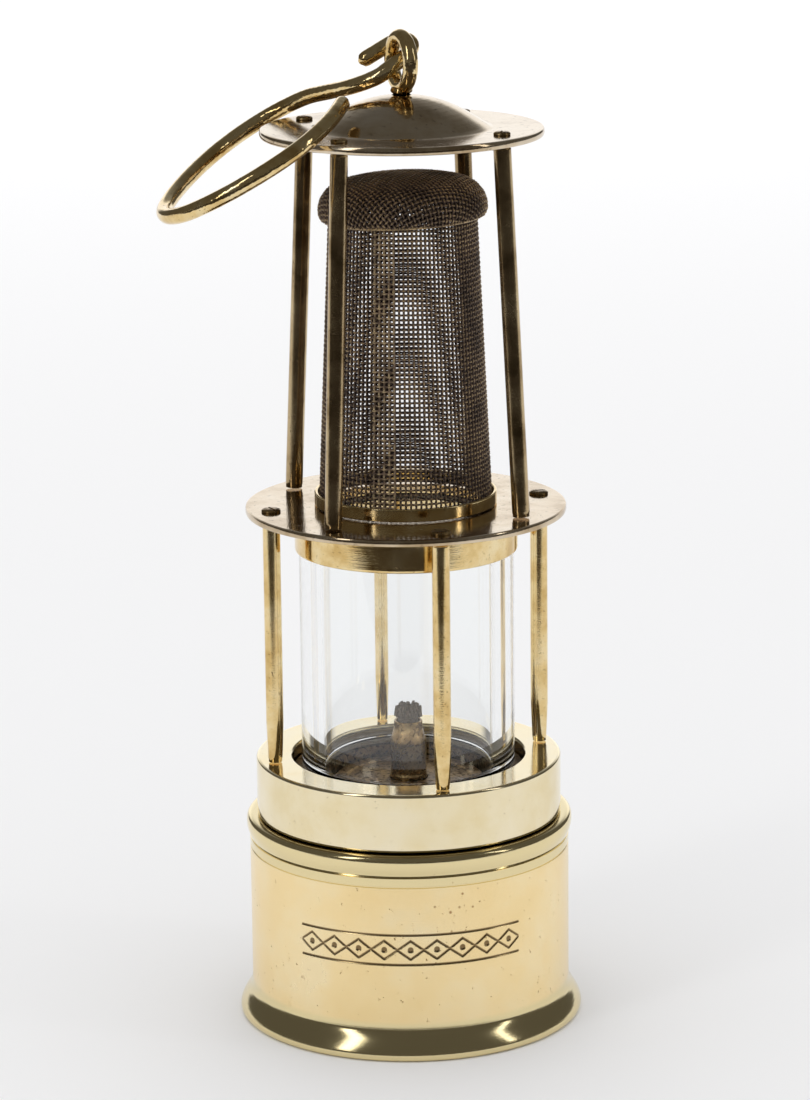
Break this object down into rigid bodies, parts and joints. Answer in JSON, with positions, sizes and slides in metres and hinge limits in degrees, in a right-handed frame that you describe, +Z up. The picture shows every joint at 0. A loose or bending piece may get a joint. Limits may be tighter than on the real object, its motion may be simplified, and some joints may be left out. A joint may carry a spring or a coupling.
{
  "type": "miner's safety lamp",
  "caption": "Flame safety lamp: round oil vessel, glass cylinder and conical wire gauze in a pillared frame, with a domed hood, swivelling eye and wire hook.",
  "frame": {"origin": "centre of the oil vessel's underside, on the surface that the lamp stands on", "axes": "+Z up along the lamp's centre line; +X and +Y lie in the base, with the hook resting towards -X"},
  "size_m": [0.0946, 0.08, 0.2297],
  "materials": {
    "brass": "polished, lightly worn",
    "dark_brass": "dull, sooted",
    "bronze": "polished, warm and darker",
    "gauze_wire": "dark, oxidised",
    "glass": "clear",
    "gasket": "matt fibre",
    "washer": "matt",
    "cotton": "matt"
  },
  "bodies": {
    "vessel": {"fuel_vessel": "brass", "base_plate": "brass", "vessel_deck": "brass", "fuel_wadding": "cotton"},
    "seal": {"collar_seal": "washer"},
    "frame": {"collar_ring": "brass", "glass_seat_ring": "dark_brass", "lower_glass_gasket": "gasket", "glass_cylinder": "glass", "upper_glass_gasket": "gasket", "glass_holder_band": "brass", "middle_plate": "bronze", "lower_pillar_1": "brass", "lower_pillar_2": "brass", "lower_pillar_3": "brass", "lower_pillar_4": "brass", "frame_screw_1": "brass", "frame_screw_2": "brass", "frame_screw_3": "brass", "frame_screw_4": "brass", "upper_pillar_1": "bronze", "upper_pillar_2": "bronze", "upper_pillar_3": "bronze", "upper_pillar_4": "bronze", "hood_screw_1": "brass", "hood_screw_2": "brass", "hood_screw_3": "brass", "hood_screw_4": "brass", "gauze_ring": "bronze", "gauze_body": "gauze_wire", "gauze_cap": "gauze_wire", "hood_plate": "bronze"},
    "burner_seal": {"burner_washer": "washer"},
    "burner": {"burner_plug": "dark_brass", "wick_tube": "brass"},
    "wick": {"wick": "cotton"},
    "eye": {"eye_bolt": "brass", "eye_washer": "brass", "eye_nut": "brass"},
    "hook": {"hook": "brass"}
  },
  "joints": [
    {"name": "frame_lift", "type": "slide", "parent": "vessel", "child": "seal", "axis": [0, 0, 1], "range_m": [0, 0.006]},
    {"name": "frame_unscrew", "type": "hinge", "parent": "seal", "child": "frame", "pos_m": [0, 0, 0.055], "axis": [0, 0, 1], "range_deg": [0, 1080]},
    {"name": "burner_lift", "type": "slide", "parent": "vessel", "child": "burner_seal", "axis": [0, 0, 1], "range_m": [0, 0.004]},
    {"name": "burner_unscrew", "type": "hinge", "parent": "burner_seal", "child": "burner", "pos_m": [0, 0, 0.056], "axis": [0, 0, 1], "range_deg": [0, 720]},
    {"name": "wick_feed", "type": "slide", "parent": "burner", "child": "wick", "axis": [0, 0, 1], "range_m": [0, 0.006]},
    {"name": "eye_swivel", "type": "hinge", "parent": "frame", "child": "eye", "pos_m": [0, 0, 0.2224], "axis": [0, 0, 1], "continuous": true},
    {"name": "hook_swing", "type": "hinge", "parent": "eye", "child": "hook", "pos_m": [0, 0, 0.2224], "axis": [-0.3746, 0.9272, 0], "range_deg": [0, 70]}
  ],
  "couplings": [
    {"joint": "frame_unscrew", "follows": "frame_lift", "rad_per_m": 3141.6},
    {"joint": "burner_unscrew", "follows": "burner_lift", "rad_per_m": 3141.6}
  ]
}
